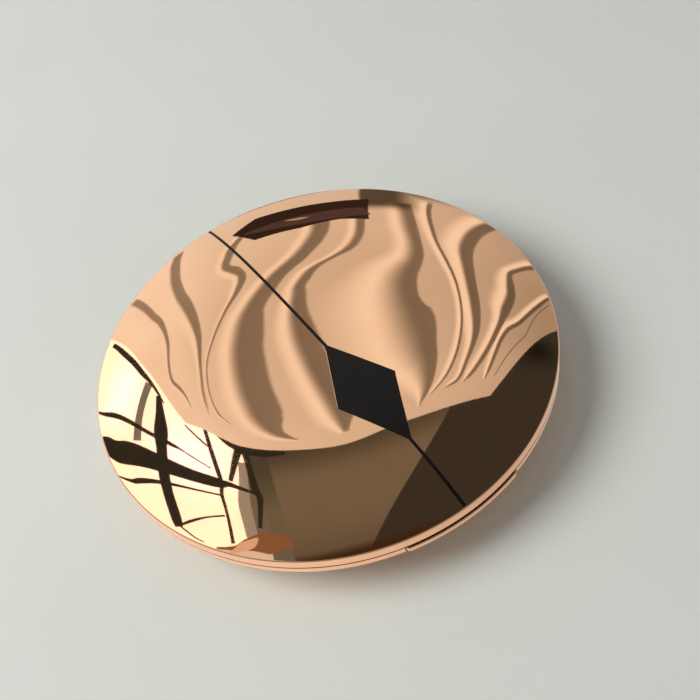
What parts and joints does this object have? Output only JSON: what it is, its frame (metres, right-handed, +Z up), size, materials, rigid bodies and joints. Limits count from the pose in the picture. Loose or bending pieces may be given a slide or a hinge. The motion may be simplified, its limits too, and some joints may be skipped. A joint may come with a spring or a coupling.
{
  "type": "powder compact",
  "caption": "Round pressed-powder compact: polished domed lid with black inlays and an inner mirror, concealed rear hinge, push-button latch, powder pan in a low bowl.",
  "frame": {"origin": "middle of the foot ring, on the surface that the compact stands on", "axes": "+Z up through the lid, -Y out through the push button, +Y towards the hinge, +X to the right of someone facing the button"},
  "size_m": [0.075, 0.0753, 0.015],
  "materials": {
    "rose_gold": "metallised mirror polish, rose gold",
    "liner_plastic": "metallised satin, rose gold",
    "mirror_glass": "silvered flat glass",
    "adhesive": "foam adhesive film",
    "black_enamel": "satin black lacquer",
    "tinplate": "pressed tinplate",
    "powder": "matt pressed powder",
    "magnet": "nickel-plated",
    "spring_steel": "bright spring steel"
  },
  "bodies": {
    "base": {"base_shell": "rose_gold", "base_tray": "liner_plastic", "powder_pan": "tinplate", "powder_cake": "powder", "pan_magnet": "magnet", "latch_spring": "spring_steel", "hinge_pin": "spring_steel"},
    "lid": {"lid_shell": "rose_gold", "lid_liner": "liner_plastic", "mirror": "mirror_glass", "mirror_pad": "adhesive", "lozenge_inlay": "black_enamel", "rear_line_inlay": "black_enamel", "front_line_inlay": "black_enamel"},
    "button": {"push_button": "rose_gold"}
  },
  "joints": [
    {"name": "lid_hinge", "type": "hinge", "parent": "base", "child": "lid", "pos_m": [0, 0.0348, 0.0091], "axis": [-1, 0, 0], "range_deg": [0, 120]},
    {"name": "button_press", "type": "slide", "parent": "base", "child": "button", "axis": [0, 1, 0], "range_m": [0, 0.0008], "stiffness_N_per_m": 1500, "deforming": ["latch_spring"]}
  ]
}
